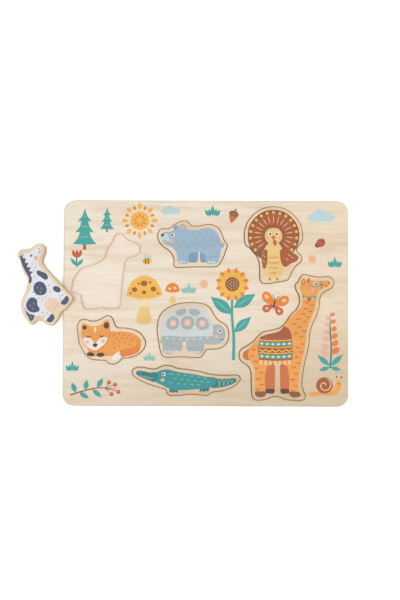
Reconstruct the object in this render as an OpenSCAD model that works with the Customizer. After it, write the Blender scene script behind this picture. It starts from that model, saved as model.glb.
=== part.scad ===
// Lift-out animal puzzle for small hands: a wooden board of two glued layers with seven cut-outs,
// and seven thick pieces that drop into them. Six pieces are seated. The pony lies beside the
// board with its feet up on the board's left edge.
// X runs along the board, Y up the picture and Z out of it. The origin is the centre of the
// board's underside. Sizes are in millimetres.

/* [Board] */
// Length of the board. The cut-outs and pieces grow and shrink with it
board_w = 300; // [240:1:400]
// Height of the board, up the picture. The cut-outs and pieces grow and shrink with it
board_h = 217; // [174:1:300]
// Radius of the board's corners
corner_r = 12; // [4:0.5:20]
// Thickness of the solid backing board
backing_t = 3; // [2:0.5:6]
// Thickness of the upper board, which holds the cut-outs
frame_t = 5; // [4.5:0.5:9]

/* [Fit of the pieces] */
// How far a seated piece stands above the board, for the fingers to grip
piece_proud = 3; // [1:0.5:6]
// Gap between a piece and the wall of its cut-out
cutout_gap = 0.7; // [0.4:0.1:1.2]

/* [Pony beside the board] */
// Turn of the pony piece, anticlockwise from the way it sits in its cut-out, in degrees
loose_turn = 49.7; // [40:0.1:60]
// How far the pony's feet reach in over the board's edge, along the piece
loose_lap = 12.2; // [6:0.2:16]
// How far the middle of the pony piece lies above the middle of the board
loose_up = 17.6; // [-15:0.2:40]
// Gap between the pony's underside and the board edge that it leans on
lean_gap = 0.2; // [0.1:0.05:0.4]

/* [Hidden] */

board_t = backing_t + frame_t;
piece_t = frame_t + piece_proud;

// Straight steps in each stretch of a curve between two points of an outline
curve_steps = 4;
// Number of sides of a circle at the board's corners
corner_sides = 96;

// Width and height of each piece, as shares of the board's length and height
pony_size_shares = [0.242, 0.365];
bear_size_shares = [0.244, 0.223];
turkey_size_shares = [0.2027, 0.3714];
fox_size_shares = [0.2373, 0.2304];
tortoise_size_shares = [0.2487, 0.2627];
platypus_size_shares = [0.376, 0.142];
llama_size_shares = [0.33, 0.6055];

// Each outline runs clockwise. Its points are shares of the piece's width and height, from the
// middle of the piece, and a smooth closed curve passes through all of them.

// From the top of the head down the neck and back to the tail, then the hind feet, the front
// feet, the chest and the muzzle
pony_outline_shares = [
    [0.21, 0.5], [0.26, 0.475], [0.305, 0.425], [0.365, 0.395], [0.455, 0.37], [0.495, 0.33],
    [0.49, 0.26], [0.43, 0.215], [0.34, 0.185], [0.29, 0.14], [0.265, 0.03], [0.245, -0.14],
    [0.225, -0.315], [0.215, -0.43], [0.19, -0.48], [0.1, -0.49], [0.005, -0.49], [-0.06, -0.47],
    [-0.13, -0.49], [-0.22, -0.5], [-0.305, -0.49], [-0.335, -0.425], [-0.355, -0.335],
    [-0.39, -0.295], [-0.475, -0.28], [-0.5, -0.25], [-0.485, -0.2], [-0.465, -0.11],
    [-0.41, -0.03], [-0.33, 0.04], [-0.195, 0.075], [-0.09, 0.12], [-0.025, 0.165],
    [0.01, 0.25], [0.04, 0.32], [0.095, 0.39], [0.12, 0.45], [0.155, 0.49]];

// From the snout over the ear, the back and the stub of a tail, then back under the feet
bear_outline_shares = [
    [-0.5, 0.17], [-0.475, 0.295], [-0.43, 0.33], [-0.35, 0.33], [-0.295, 0.375],
    [-0.215, 0.465], [-0.13, 0.5], [-0.075, 0.485], [-0.03, 0.41], [0.02, 0.39], [0.12, 0.4],
    [0.23, 0.43], [0.325, 0.395], [0.39, 0.305], [0.43, 0.175], [0.46, 0.06], [0.5, -0.025],
    [0.475, -0.12], [0.45, -0.245], [0.4, -0.39], [0.355, -0.465], [0.295, -0.485],
    [0.055, -0.485], [-0.2, -0.5], [-0.26, -0.465], [-0.26, -0.335], [-0.29, -0.215],
    [-0.345, -0.12], [-0.415, -0.055], [-0.47, 0.04]];

// The fan's middle and reach as shares of the piece, which make it round on the usual board
fan_middle_shares = [0, 0.123];
fan_reach_shares = [0.5, 0.377];
// It is an arc, from this angle on the left over the top to that one on the right
fan_start_angle = 199;
fan_end_angle = -9;
fan_points = 12;
// Below the fan, from its right end round the wing tip and the feet to its left end
turkey_body_shares = [
    [0.425, -0.01], [0.395, -0.06], [0.415, -0.095], [0.465, -0.13], [0.49, -0.175],
    [0.47, -0.215], [0.405, -0.255], [0.34, -0.32], [0.29, -0.39], [0.245, -0.45],
    [0.16, -0.47], [0.05, -0.48], [-0.03, -0.495], [-0.13, -0.5], [-0.205, -0.485],
    [-0.23, -0.42], [-0.23, -0.31], [-0.245, -0.215], [-0.285, -0.14], [-0.35, -0.08],
    [-0.415, -0.025]];

// From the cheek over both ears and the back to the tail, then back under the belly and paws
fox_outline_shares = [
    [-0.5, 0.275], [-0.48, 0.36], [-0.45, 0.41], [-0.39, 0.425], [-0.305, 0.39],
    [-0.225, 0.395], [-0.145, 0.44], [-0.07, 0.5], [-0.02, 0.49], [0.02, 0.425],
    [0.045, 0.315], [0.095, 0.25], [0.195, 0.245], [0.305, 0.22], [0.395, 0.165],
    [0.46, 0.075], [0.5, -0.05], [0.48, -0.17], [0.42, -0.265], [0.33, -0.34],
    [0.235, -0.37], [0.16, -0.38], [0.11, -0.455], [0.04, -0.5], [-0.03, -0.485],
    [-0.085, -0.425], [-0.18, -0.415], [-0.295, -0.395], [-0.375, -0.31], [-0.43, -0.18],
    [-0.47, -0.06], [-0.49, 0.12]];

// From the rim of the shell on the left over its dome to the head, then back under the feet
tortoise_outline_shares = [
    [-0.5, 0.01], [-0.49, 0.14], [-0.46, 0.265], [-0.41, 0.35], [-0.32, 0.425], [-0.21, 0.48],
    [-0.06, 0.5], [0.07, 0.495], [0.165, 0.47], [0.24, 0.4], [0.3, 0.265], [0.365, 0.17],
    [0.445, 0.105], [0.485, 0.04], [0.5, -0.08], [0.485, -0.2], [0.435, -0.285],
    [0.35, -0.335], [0.26, -0.345], [0.19, -0.355], [0.16, -0.41], [0.11, -0.49],
    [0.02, -0.5], [-0.14, -0.485], [-0.33, -0.495], [-0.415, -0.48], [-0.45, -0.4],
    [-0.47, -0.27], [-0.49, -0.115]];

// From the tip of the bill over the brow and back to the tail, then back under the feet
platypus_outline_shares = [
    [-0.5, 0.265], [-0.49, 0.375], [-0.45, 0.44], [-0.395, 0.43], [-0.335, 0.39],
    [-0.28, 0.38], [-0.245, 0.445], [-0.2, 0.5], [-0.14, 0.49], [-0.09, 0.415], [0, 0.37],
    [0.11, 0.31], [0.205, 0.225], [0.3, 0.175], [0.41, 0.18], [0.475, 0.18], [0.5, 0.08],
    [0.48, -0.065], [0.425, -0.215], [0.335, -0.33], [0.25, -0.375], [0.22, -0.43],
    [0.185, -0.5], [0.125, -0.47], [0.02, -0.455], [-0.07, -0.495], [-0.145, -0.5],
    [-0.175, -0.415], [-0.19, -0.295], [-0.26, -0.215], [-0.35, -0.11], [-0.435, 0.03],
    [-0.485, 0.155]];

// From the back of the head over the ear and muzzle, down the neck and legs, then under the
// feet to the tail and along the back up to the head
llama_outline_shares = [
    [0.095, 0.415], [0.125, 0.445], [0.147, 0.477], [0.18, 0.5], [0.23, 0.495], [0.29, 0.485],
    [0.36, 0.48], [0.43, 0.485], [0.475, 0.475], [0.5, 0.44], [0.48, 0.4], [0.42, 0.375],
    [0.37, 0.345], [0.35, 0.305], [0.345, 0.255], [0.32, 0.185], [0.275, 0.11], [0.245, 0.035],
    [0.235, -0.05], [0.215, -0.125], [0.19, -0.2], [0.17, -0.29], [0.16, -0.38],
    [0.18, -0.435], [0.2, -0.47], [0.165, -0.5], [0.08, -0.5], [0, -0.495], [-0.07, -0.475],
    [-0.14, -0.47], [-0.21, -0.49], [-0.29, -0.5], [-0.345, -0.49], [-0.365, -0.45],
    [-0.37, -0.365], [-0.375, -0.275], [-0.405, -0.23], [-0.47, -0.195], [-0.5, -0.155],
    [-0.485, -0.105], [-0.425, -0.075], [-0.35, -0.035], [-0.295, 0.01], [-0.24, 0.04],
    [-0.15, 0.055], [-0.065, 0.075], [-0.01, 0.115], [0.05, 0.18], [0.11, 0.225],
    [0.14, 0.275], [0.133, 0.337], [0.105, 0.38]];

// The middle of each piece's place, as shares of the board's length and height from its centre
pony_place_shares = [-0.352, 0.153];
bear_place_shares = [-0.047, 0.286];
turkey_place_shares = [0.237, 0.283];
fox_place_shares = [-0.33, -0.18];
tortoise_place_shares = [-0.0445, -0.131];
platypus_place_shares = [-0.0675, -0.375];
llama_place_shares = [0.2833, -0.164];

function on_board(shares) = [shares.x * board_w, shares.y * board_h];
function arc_shares(middle, reach, a1, a2, n) =
    [for (i = [0 : n - 1]) let (a = a1 + (a2 - a1) * i / (n - 1))
        middle + [reach.x * cos(a), reach.y * sin(a)]];

// The outline of a piece, from the shares of its points and its size
function piece_ring(outline_shares, size_shares) =
    let (size = on_board(size_shares))
    smooth_ring([for (s = outline_shares) [s.x * size.x, s.y * size.y]]);

// A point at share t of the way from b to c, on a smooth curve through a, b, c and d
function between(a, b, c, d, t) =
    b + t * ((c - a) + t * ((2 * a - 5 * b + 4 * c - d) + t * (3 * b - a - 3 * c + d))) / 2;

// A smooth closed curve through all the points
function smooth_ring(points) =
    let (n = len(points))
    [for (i = [0 : n - 1], k = [0 : curve_steps - 1])
        between(points[(i + n - 1) % n], points[i], points[(i + 1) % n], points[(i + 2) % n],
                k / curve_steps)];

// A clockwise ring with every point moved straight out by the gap
function grown_ring(ring, gap) =
    let (n = len(ring))
    [for (i = [0 : n - 1])
        let (along = ring[(i + 1) % n] - ring[(i + n - 1) % n])
        ring[i] + gap * [-along.y, along.x] / norm(along)];

function turned(points, angle) =
    [for (p = points) [p.x * cos(angle) - p.y * sin(angle), p.x * sin(angle) + p.y * cos(angle)]];

pony_ring = piece_ring(pony_outline_shares, pony_size_shares);
bear_ring = piece_ring(bear_outline_shares, bear_size_shares);
fan_shares = arc_shares(fan_middle_shares, fan_reach_shares, fan_start_angle, fan_end_angle, fan_points);
turkey_ring = piece_ring(concat(fan_shares, turkey_body_shares), turkey_size_shares);
fox_ring = piece_ring(fox_outline_shares, fox_size_shares);
tortoise_ring = piece_ring(tortoise_outline_shares, tortoise_size_shares);
platypus_ring = piece_ring(platypus_outline_shares, platypus_size_shares);
llama_ring = piece_ring(llama_outline_shares, llama_size_shares);

// Every cut-out: where its middle is, and the ring of the piece that drops into it
cutouts = [
    [pony_place_shares, pony_ring],
    [bear_place_shares, bear_ring],
    [turkey_place_shares, turkey_ring],
    [fox_place_shares, fox_ring],
    [tortoise_place_shares, tortoise_ring],
    [platypus_place_shares, platypus_ring],
    [llama_place_shares, llama_ring]];

// The pony piece beside the board. Its outermost point lies on the table, and its underside
// rises from there to pass just over the board's top left edge.
loose_ring = turned(pony_ring, loose_turn);
loose_left = min([for (p = loose_ring) p.x]);
loose_right = max([for (p = loose_ring) p.x]);
lean_run = loose_right - loose_left - loose_lap;
lean_angle = asin(board_t / norm([lean_run, lean_gap])) + atan(lean_gap / lean_run);
lean_reach = lean_run * cos(lean_angle) + lean_gap * sin(lean_angle);

// The face of the board: a rectangle with round corners
module board_face() {
    for (inset = [[corner_r, 0], [0, corner_r]])
        square([board_w, board_h] - 2 * inset, center = true);
    for (x = [-1, 1], y = [-1, 1])
        translate([x * (board_w / 2 - corner_r), y * (board_h / 2 - corner_r)])
            circle(corner_r, $fn = corner_sides);
}

module backing_board() {
    color("#d8c4a4")
        linear_extrude(backing_t)
            board_face();
}

module frame_board() {
    color("#e6d9c3")
        translate([0, 0, backing_t])
            linear_extrude(frame_t)
                difference() {
                    board_face();
                    for (cutout = cutouts)
                        translate(on_board(cutout[0]))
                            polygon(grown_ring(cutout[1], cutout_gap));
                }
}

// A piece in its cut-out, standing on the backing board
module seated_piece(place_shares, ring) {
    translate(on_board(place_shares))
        translate([0, 0, backing_t])
            linear_extrude(piece_t)
                polygon(ring);
}

module pony_piece() {
    color("#edeef5")
        translate([-board_w / 2 - lean_reach, loose_up, 0])
            rotate([0, -lean_angle, 0])
                translate([-loose_left, 0, 0])
                    rotate([0, 0, loose_turn])
                        linear_extrude(piece_t)
                            polygon(pony_ring);
}

module bear_piece() {
    color("#9cb4d8") seated_piece(bear_place_shares, bear_ring);
}

module turkey_piece() {
    color("#7a4a2c") seated_piece(turkey_place_shares, turkey_ring);
}

module fox_piece() {
    color("#f5a23a") seated_piece(fox_place_shares, fox_ring);
}

module tortoise_piece() {
    color("#c3cdd0") seated_piece(tortoise_place_shares, tortoise_ring);
}

module platypus_piece() {
    color("#2a9d94") seated_piece(platypus_place_shares, platypus_ring);
}

module llama_piece() {
    color("#e8852f") seated_piece(llama_place_shares, llama_ring);
}

backing_board();
frame_board();
pony_piece();
bear_piece();
turkey_piece();
fox_piece();
tortoise_piece();
platypus_piece();
llama_piece();
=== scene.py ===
# A wooden lift-out puzzle lying on a white table: birch plywood, sanded and printed in flat inks,
# with a woodland picture on the board and one animal on each piece.
# The scene is in metres. Every drawing is in millimetres, flat, from the middle of its own piece.

from math import atan2, cos, hypot, radians, sin, tau

import bmesh
import bpy
from mathutils import Matrix, Vector


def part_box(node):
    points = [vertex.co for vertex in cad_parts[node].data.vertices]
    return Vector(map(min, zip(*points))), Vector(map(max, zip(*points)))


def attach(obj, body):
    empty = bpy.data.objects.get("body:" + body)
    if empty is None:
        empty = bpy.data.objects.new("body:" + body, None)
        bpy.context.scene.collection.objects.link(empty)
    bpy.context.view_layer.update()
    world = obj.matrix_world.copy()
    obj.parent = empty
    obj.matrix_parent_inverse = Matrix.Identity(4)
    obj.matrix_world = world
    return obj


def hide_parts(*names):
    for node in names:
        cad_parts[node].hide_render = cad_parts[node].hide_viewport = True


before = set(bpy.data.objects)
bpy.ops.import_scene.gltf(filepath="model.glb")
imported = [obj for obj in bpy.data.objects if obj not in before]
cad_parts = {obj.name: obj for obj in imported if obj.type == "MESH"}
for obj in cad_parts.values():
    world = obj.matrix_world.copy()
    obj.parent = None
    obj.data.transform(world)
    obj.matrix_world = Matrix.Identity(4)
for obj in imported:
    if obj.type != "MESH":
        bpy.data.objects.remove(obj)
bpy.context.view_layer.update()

MM = 0.001

# Wood

BACKING_PLY = 1.0 * MM
FRAME_PLY = 1.0 * MM
PIECE_PLY = 1.15 * MM
BOARD_ROUNDING = 1.4 * MM
CUT_ROUNDING = 0.3 * MM
PIECE_ROUNDING = 0.95 * MM
ROUNDING_STEPS = 4
# A darker tint on the board's face this far from each cut-out, and this tint at the cut: partly browning by
# the cutter, partly painted shade along the rim
SCORCH_AND_SHADE_WIDTH = 0.5 * MM
SCORCH_AND_SHADE_TINT = "FAF3EA"
# The pony piece lies turned by this angle from the way it sits in its cut-out, anticlockwise
LOOSE_TURN = radians(49.7)

# Tones of the face veneer, from a darker band to a paler one and back to honey
BOARD_VENEER = ("E2CFB5", "EADCC8", "F0E5D5", "E8D8C1")
# Towards the right and the foot of the board the face is tinted a little darker and warmer. For
# each drift, the way it goes, where it begins and ends in millimetres that way, and the tint at its end.
FACE_TINT_DRIFT = (((1, 0), 10, 130, "FCF5EB"), ((0.2, -1), 30, 110, "E6E2D9"))
# The bands of the veneer shift a drift by up to this much
DRIFT_WAVE = 70 * MM
# The loose pieces are of a redder sheet than the board
PIECE_VENEER = ("DFC3A0", "E8D0B2", "EFD9BF", "E6CCAC")
# The board at the back was never printed or handled, and is paler
BACKING_VENEER = ("EBDBC7", "F1E4D5", "F4E9DD", "EFE1CF")
# Tones of an edge: a ply with its grain along the edge, a glue line, and a ply of end grain
SANDED_EDGE = ("EAD5B3", "B48A5E", "D8B88D")
ROUTED_EDGE = ("ECD7B8", "C0966B", "DDC09A")

# Ink

# Each level of a picture stands this much higher than the one before, in millimetres
INK_STEP = 0.03
# Outlines of one level may overlap, so by turns they get this much more, up to so many times
OVERLAP_STEP = 0.004
OVERLAP_TURNS = 6
# Straight steps between two points of an inked outline
INK_ROUNDNESS = 7

# Paper-flat inks, as sRGB
INKS = {
    "apricot": "EFA34C",
    "orange": "E88434",
    "burnt_orange": "CE6F38",
    "amber": "F4BC48",
    "cream": "F6E3BC",
    "straw": "EECA80",
    "rust": "A4542C",
    "brick": "C65B3C",
    "chestnut": "84502E",
    "bark": "4C2C1A",
    "teal": "37A49D",
    "sea": "2A9193",
    "deep_teal": "1F757B",
    "mint": "8FC4B6",
    "sky": "9CB8CE",
    "dusk": "7C9CBA",
    "mist": "D3D8DB",
    "slate": "A9B6B9",
    "ice": "BFD9DD",
    "white": "F4EFEA",
    "frost": "ECEEF5",
    "navy": "46516F",
    "soot": "2D2523",
    "blush": "F2B5A2",
}

# The setting of a mix in which the second colour darkens the first, as a stain does
TINT = {"blend_type": "MULTIPLY"}
# Lacquered birch and water-based ink bend light alike
SEALED_IOR = 1.5


def linear(colour):
    """The linear RGBA of an sRGB hex colour."""
    shares = [int(colour[i : i + 2], 16) / 255 for i in (0, 2, 4)]
    return [s / 12.92 if s <= 0.04045 else ((s + 0.055) / 1.055) ** 2.4 for s in shares] + [1]


def add(tree, kind, settings=None, **inputs):
    """A node of this kind in the tree. An input is a value, or another node's socket to link."""
    node = tree.nodes.new("ShaderNode" + kind)
    for name, value in (settings or {}).items():
        setattr(node, name, value)
    for name, value in inputs.items():
        socket = node.inputs[int(name[1:])] if name[1:].isdigit() else node.inputs[name.replace("_", " ")]
        if isinstance(value, bpy.types.NodeSocket):
            tree.links.new(value, socket)
        else:
            socket.default_value = value
    return node


def new_material(name):
    """An empty material, its node tree and its principled shader."""
    material = bpy.data.materials.new(name)
    material.use_nodes = True
    tree = material.node_tree
    return material, tree, tree.nodes["Principled BSDF"]


def set_stops(ramp_node, places, tones):
    """Gives a colour ramp these sRGB hex tones at these places."""
    elements = ramp_node.color_ramp.elements
    while len(elements) > 1:
        elements.remove(elements[-1])
    elements[0].position, elements[0].color = places[0], linear(tones[0])
    for place, tone in zip(places[1:], tones[1:]):
        elements.new(place).color = linear(tone)


def finish_surface(tree, shader, colour, relief, strength, depth, roughness):
    """Gives the shader its colour, its roughness, and bumps of this depth in millimetres where the
    relief says."""
    tree.links.new(colour, shader.inputs["Base Color"])
    bump = add(tree, "Bump", Height=relief, Strength=strength, Distance=depth * MM)
    tree.links.new(bump.outputs[0], shader.inputs["Normal"])
    shader.inputs["Roughness"].default_value = roughness
    shader.inputs["IOR"].default_value = SEALED_IOR


def lying(bottom, turn=(0, 0, 0)):
    """How a piece lies, from the height of its underside: the turn and shift that undo it."""
    return {"turn": turn, "shift": (0, 0, -bottom)}


def laid_flat(tree, lay):
    """The socket of a point's place in the piece once it lies flat and straight, with lay as
    lying() gives it."""
    place = add(tree, "TexCoord").outputs["Object"]
    return add(tree, "Mapping", Vector=place, Rotation=lay["turn"], Location=lay["shift"]).outputs[0]


def grain(tree, flat):
    """Rotary-cut birch: broad cloudy bands along X, fine fibres along X, and a few short pores.
    Returns the sockets of the three patterns, for places as laid_flat gives them."""
    # Length and width in millimetres, detail and distortion of each kind of figure. Real fibres
    # are thinner than half a millimetre, and are drawn this coarse so that they show.
    band, fibre, pore = (90, 11, 3, 0.6), (16, 0.55, 2, 0.1), (7, 0.9, 1, 0.1)
    patterns = []
    for along, across, detail, distortion in (band, fibre, pore):
        scale = (1 / (along * MM), 1 / (across * MM), 1 / (across * MM))
        stretched = add(tree, "Mapping", Vector=flat, Scale=scale)
        noise = add(
            tree,
            "TexNoise",
            Vector=stretched.outputs[0],
            Scale=1.0,
            Detail=detail,
            Roughness=0.55,
            Distortion=distortion,
        )
        patterns.append(noise.outputs["Fac"])
    return patterns


def birch_face(name, lay, veneer):
    """Birch plywood face veneer, sanded and sealed with matt lacquer: pale cream with soft bands of
    honey along the grain, hairline fibres, and a broad faint sheen. Darker along the rims of the
    cut-outs, as the mesh's attribute marks them: partly browning by the cutter, partly painted shade."""
    material, tree, shader = new_material(name)
    flat = laid_flat(tree, lay)
    band, fibre, pore = grain(tree, flat)
    bands = add(tree, "ValToRGB", Fac=band)
    set_stops(bands, (0.3, 0.45, 0.6, 0.72), veneer)
    fibres = add(tree, "ValToRGB", Fac=fibre)
    set_stops(fibres, (0.32, 0.58), ("EADFD1", "FFFFFF"))
    pores = add(tree, "ValToRGB", Fac=pore)
    set_stops(pores, (0.2, 0.27), ("DFCDB4", "FFFFFF"))
    streaked = add(tree, "MixRGB", TINT, Fac=0.4, Color1=bands.outputs[0], Color2=fibres.outputs[0])
    pored = add(tree, "MixRGB", TINT, Fac=0.6, Color1=streaked.outputs[0], Color2=pores.outputs[0])
    face = pored.outputs[0]
    for way, begin, end, colour in FACE_TINT_DRIFT:
        along = add(tree, "VectorMath", {"operation": "DOT_PRODUCT"}, _0=flat, _1=(*way, 0))
        wavy = {"operation": "MULTIPLY_ADD"}
        waved = add(tree, "Math", wavy, _0=band, _1=DRIFT_WAVE, _2=along.outputs["Value"])
        # The bands are 0.5 on average, so that much of the wave is taken off again
        low, high = begin * MM + DRIFT_WAVE / 2, end * MM + DRIFT_WAVE / 2
        share = add(tree, "MapRange", Value=waved.outputs[0], From_Min=low, From_Max=high)
        face = add(tree, "MixRGB", TINT, Fac=share.outputs[0], Color1=face, Color2=linear(colour)).outputs[0]
    # The face darkens at the rims of the cut-outs: partly browning by the cutter, partly painted shade
    near_cut = add(tree, "Attribute", {"attribute_name": "scorch_and_shade"}).outputs["Fac"]
    browned_and_shaded = add(tree, "MixRGB", TINT, Fac=near_cut, Color1=face, Color2=linear(SCORCH_AND_SHADE_TINT))
    finish_surface(tree, shader, browned_and_shaded.outputs[0], fibre, strength=0.12, depth=0.05, roughness=0.5)
    return material


def birch_edge(name, lay, ply, tones):
    """The edge of birch plywood: plies of long grain and darker end grain by turns, with thin glue
    lines, with the fine streaks that the saw or router leaves."""
    long_grain, glue, end_grain = tones
    material, tree, shader = new_material(name)
    flat = laid_flat(tree, lay)
    height = add(tree, "SeparateXYZ", Vector=flat).outputs["Z"]
    plies = add(tree, "Math", {"operation": "DIVIDE"}, _0=height, _1=2 * ply)
    phase = add(tree, "Math", {"operation": "FRACT"}, _0=plies.outputs[0])
    layers = add(tree, "ValToRGB", Fac=phase.outputs[0])
    set_stops(
        layers,
        (0, 0.05, 0.45, 0.5, 0.55, 0.95, 1),
        (glue, long_grain, long_grain, glue, end_grain, end_grain, glue),
    )
    streak_size, streak_height = 1.6 * MM, 0.35 * MM
    fine = add(tree, "Mapping", Vector=flat, Scale=(1 / streak_size, 1 / streak_size, 1 / streak_height))
    streaks = add(tree, "TexNoise", Vector=fine.outputs[0], Scale=1.0, Detail=3, Roughness=0.6)
    streak = streaks.outputs["Fac"]
    marks = add(tree, "ValToRGB", Fac=streak)
    set_stops(marks, (0.3, 0.65), ("D6BF9F", "FFFFFF"))
    mixed = add(tree, "MixRGB", TINT, Fac=0.7, Color1=layers.outputs[0], Color2=marks.outputs[0])
    finish_surface(tree, shader, mixed.outputs[0], streak, strength=0.3, depth=0.08, roughness=0.68)
    return material


def printed_ink(name, colour, lay):
    """Water-based ink rolled onto sanded birch: an even matt colour, a touch thinner along the
    fibres of the veneer, so that the grain shows faintly through it."""
    material, tree, shader = new_material(name)
    band, fibre, _ = grain(tree, laid_flat(tree, lay))
    thin = add(tree, "ValToRGB", Fac=fibre)
    set_stops(thin, (0.36, 0.58), ("E6DFD6", "FFFFFF"))
    cloud = add(tree, "ValToRGB", Fac=band)
    set_stops(cloud, (0.3, 0.6), ("F3EEE8", "FFFFFF"))
    streaked = add(tree, "MixRGB", TINT, Fac=0.4, Color1=linear(colour), Color2=thin.outputs[0])
    clouded = add(tree, "MixRGB", TINT, Fac=0.8, Color1=streaked.outputs[0], Color2=cloud.outputs[0])
    finish_surface(tree, shader, clouded.outputs[0], fibre, strength=0.08, depth=0.05, roughness=0.55)
    return material


# Plywood pieces

# A face is flat wood where it points along the way up by more than this, and wall otherwise
FLAT_SHARE = 0.8
# The rounding of a loose piece is sanded too, and is pale down to where it turns into the wall
SANDED_SHARE = 0.3
# A face that points up by more than this is level
LEVEL_SHARE = 0.999
# Faces that meet at more than this keep a crisp edge
CREASE = radians(38)
# Faces that turn by less than this are one flat face
FLAT_TURN = radians(0.5)
# Corners nearer than this are one corner, in millimetres
MERGE_GAP = 0.002
# What is nearer than this to a level lies on it
LEVEL_GAP = 0.01 * MM


def new_object(name, data):
    """An object in the scene that holds this data."""
    made = bpy.data.objects.new(name, data)
    bpy.context.scene.collection.objects.link(made)
    return made


def merged_copy(node):
    """The CAD node's mesh as a bmesh with merged corners and whole flat faces."""
    wood = bmesh.new()
    wood.from_mesh(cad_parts[node].data)
    bmesh.ops.remove_doubles(wood, verts=wood.verts, dist=MERGE_GAP * MM)
    bmesh.ops.dissolve_limit(
        wood, angle_limit=FLAT_TURN, verts=wood.verts, edges=wood.edges, delimit={"NORMAL"}
    )
    return wood


def rounded(wood, edges, radius):
    bmesh.ops.bevel(
        wood,
        geom=edges,
        offset=radius,
        offset_type="OFFSET",
        affect="EDGES",
        segments=ROUNDING_STEPS,
        profile=0.5,
        material=-1,
        clamp_overlap=False,
    )


def rims(wood, up, wanted):
    """The edges between a flat face and a wall, where wanted(edge) holds."""
    found = []
    for edge in wood.edges:
        if len(edge.link_faces) != 2:
            continue
        flats = [abs(face.normal.dot(up)) > FLAT_SHARE for face in edge.link_faces]
        if flats[0] != flats[1] and wanted(edge):
            found.append(edge)
    return found


def scorch_and_shade(wood, top, outer):
    """Marks the top face for a darker tint at its cut-outs, fading over the width set for it above: partly
    browning by the cutter, partly painted shade along the rim.
    """
    marks = wood.verts.layers.float.new("scorch_and_shade")
    lowest = top - LEVEL_GAP
    tops = [
        face
        for face in wood.faces
        if face.normal.z > LEVEL_SHARE and face.calc_center_median().z > lowest
    ]
    bmesh.ops.inset_region(
        wood, faces=tops, thickness=SCORCH_AND_SHADE_WIDTH, use_boundary=True, use_even_offset=True
    )
    wood.normal_update()
    for vert in wood.verts:
        at_rim = any(face.normal.z < LEVEL_SHARE for face in vert.link_faces)
        vert[marks] = 1.0 if at_rim and not outer(vert.co) else 0.0


def finish_plywood(wood, node, body, up, materials, flat_share, wall_kind=lambda centre: 1):
    """Turns the bmesh into the finished piece. materials[0] is the face's, and wall_kind(centre)
    gives the number of a wall's."""
    wood.normal_update()
    for face in wood.faces:
        face.smooth = True
        is_flat = abs(face.normal.dot(up)) > flat_share
        face.material_index = 0 if is_flat else wall_kind(face.calc_center_median())
    mesh = bpy.data.meshes.new(node + "_wood")
    wood.to_mesh(mesh)
    wood.free()
    for material in materials:
        mesh.materials.append(material)
    mesh.set_sharp_from_angle(angle=CREASE)
    piece = new_object(node + "_wood", mesh)
    weighted = piece.modifiers.new("flat_faces_stay_flat", "WEIGHTED_NORMAL")
    weighted.keep_sharp = True
    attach(piece, body)
    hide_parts(node)


def make_piece(node, body, up, face_material, wall_material):
    """A loose piece: rounded all round, and sanded pale as far as its wall."""
    wood = merged_copy(node)
    rounded(wood, rims(wood, up, lambda edge: True), PIECE_ROUNDING)
    finish_plywood(wood, node, body, up, [face_material, wall_material], SANDED_SHARE)


def make_boards(lay):
    """The backing board and the frame board glued onto it, rounded together as one board."""
    up = Vector((0, 0, 1))
    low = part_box("backing_board")[0]
    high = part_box("frame_board")[1]
    # What is nearer than this to a side of the board, or to a corner of its box, belongs to the
    # outside and not to a cut-out
    side_reach, corner_reach = 2 * MM, 12 * MM

    def outer(point):
        x_gap, y_gap = high.x - abs(point.x), high.y - abs(point.y)
        return min(x_gap, y_gap) < side_reach or hypot(x_gap, y_gap) < corner_reach

    def outside_rim(edge):
        return outer(edge.verts[0].co) and outer(edge.verts[1].co)

    def on_top(edge):
        return edge.verts[0].co.z > high.z - LEVEL_GAP

    backing = merged_copy("backing_board")
    rounded(backing, rims(backing, up, lambda edge: edge.verts[0].co.z < low.z + LEVEL_GAP), BOARD_ROUNDING)
    backing_face = birch_face("birch_face_backing", lay, BACKING_VENEER)
    backing_edge = birch_edge("birch_edge_backing", lay, BACKING_PLY, SANDED_EDGE)
    finish_plywood(backing, "backing_board", "board", up, [backing_face, backing_edge], FLAT_SHARE)

    front = merged_copy("frame_board")
    rounded(front, rims(front, up, lambda edge: on_top(edge) and outside_rim(edge)), BOARD_ROUNDING)
    rounded(front, rims(front, up, lambda edge: on_top(edge) and not outside_rim(edge)), CUT_ROUNDING)
    # The face darkens at the rims of the cut-outs: partly browning by the cutter, partly painted shade
    scorch_and_shade(front, high.z, outer)
    raised = lying(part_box("frame_board")[0].z)
    frame_face = birch_face("birch_face_frame", lay, BOARD_VENEER)
    frame_edge = birch_edge("birch_edge_frame", raised, FRAME_PLY, SANDED_EDGE)
    cut_wall = birch_edge("birch_cut_wall", raised, FRAME_PLY, ROUTED_EDGE)
    materials = [frame_face, frame_edge, cut_wall]
    finish_plywood(
        front, "frame_board", "board", up, materials, FLAT_SHARE, lambda centre: 1 if outer(centre) else 2
    )


# Drawing. An outline is a list of points in millimetres, and a smooth closed line through them.


def corner(x, y):
    """A point where the outline has a sharp corner."""
    return (x, y, "VECTOR")


def oval(x, y, rx, ry=None, turn=0):
    """Eight points of an oval of this half width and half height, or of a circle. turn is in
    degrees."""
    ry = ry or rx
    t = radians(turn)
    points = []
    for k in range(8):
        a = tau * k / 8
        u, v = rx * cos(a), ry * sin(a)
        points.append((x + u * cos(t) - v * sin(t), y + u * sin(t) + v * cos(t)))
    return points


def ring(x, y, r, start, end, count):
    """Points round (x, y), from one angle to another in degrees."""
    angles = [radians(start + (end - start) * k / (count - 1)) for k in range(count)]
    return [(x + r * cos(a), y + r * sin(a)) for a in angles]


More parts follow.
